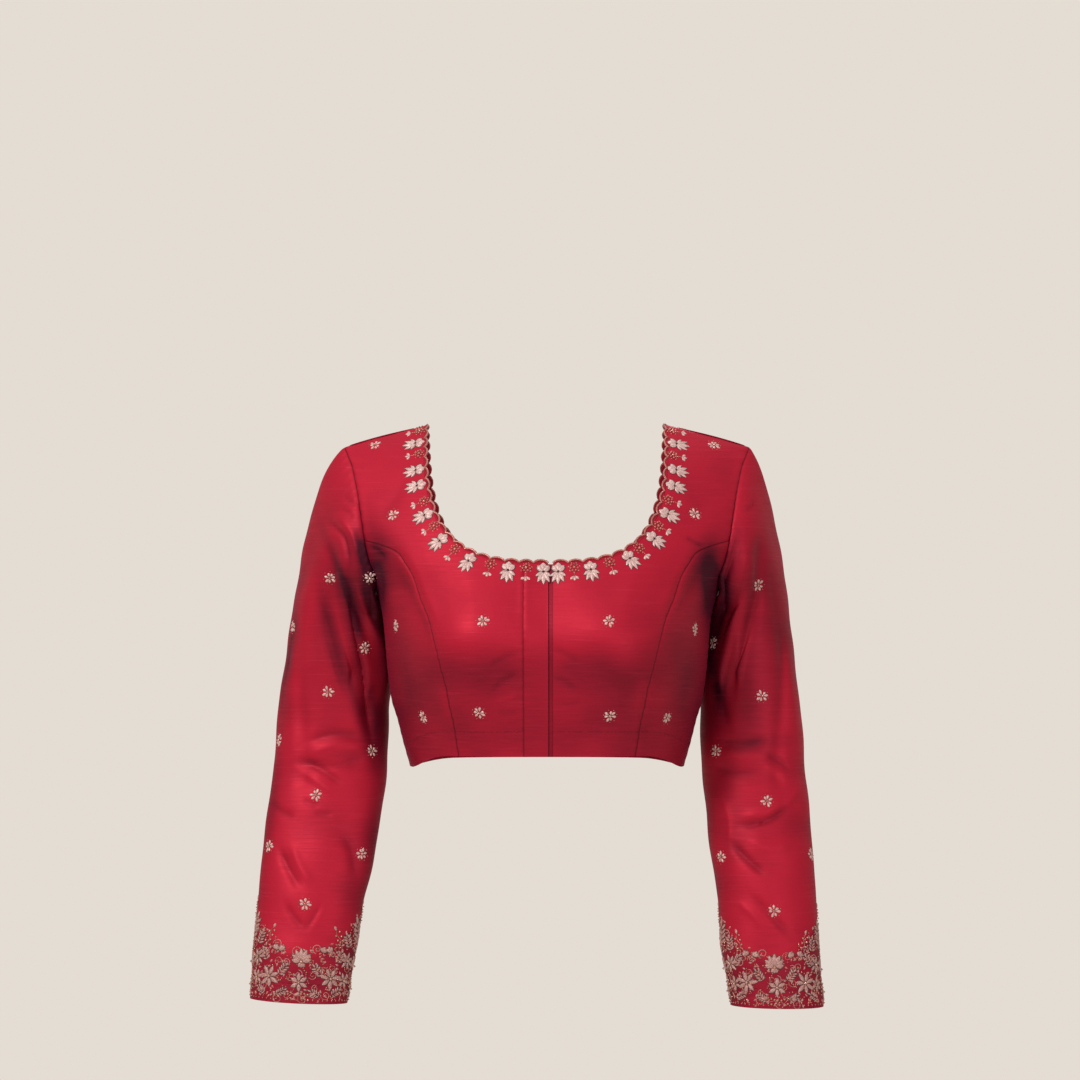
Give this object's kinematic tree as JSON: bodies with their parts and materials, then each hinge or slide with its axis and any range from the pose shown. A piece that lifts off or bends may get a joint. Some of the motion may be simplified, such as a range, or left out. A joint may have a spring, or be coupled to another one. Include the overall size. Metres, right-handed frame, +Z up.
{
  "type": "choli blouse",
  "caption": "Fitted, cropped front-opening blouse in shot red silk, with set-in long sleeves, princess seams, a scooped scalloped neck and embroidered cuffs.",
  "frame": {"origin": "midway between the two points where the shoulder seams meet the neck edge", "axes": "+Z up, +X towards the wearer's left, the front faces -Y; the blouse keeps the pose it has when worn"},
  "size_m": [0.5417, 0.2487, 0.5517],
  "materials": {
    "silk": "shot raw silk, red and purple, fine crosswise slubs, soft sheen",
    "edging": "twisted cord in dull pinkish gold"
  },
  "bodies": {
    "root": {"front_centre_right": "silk", "front_centre_left": "silk", "front_side_right": "silk", "front_side_left": "silk", "back": "silk", "sleeve_right": "silk", "sleeve_left": "silk", "placket_overlap": "silk", "placket_underlap": "silk", "neck_edging_front_right": "edging", "neck_edging_front_left": "edging", "neck_edging_back": "edging"}
  },
  "joints": []
}
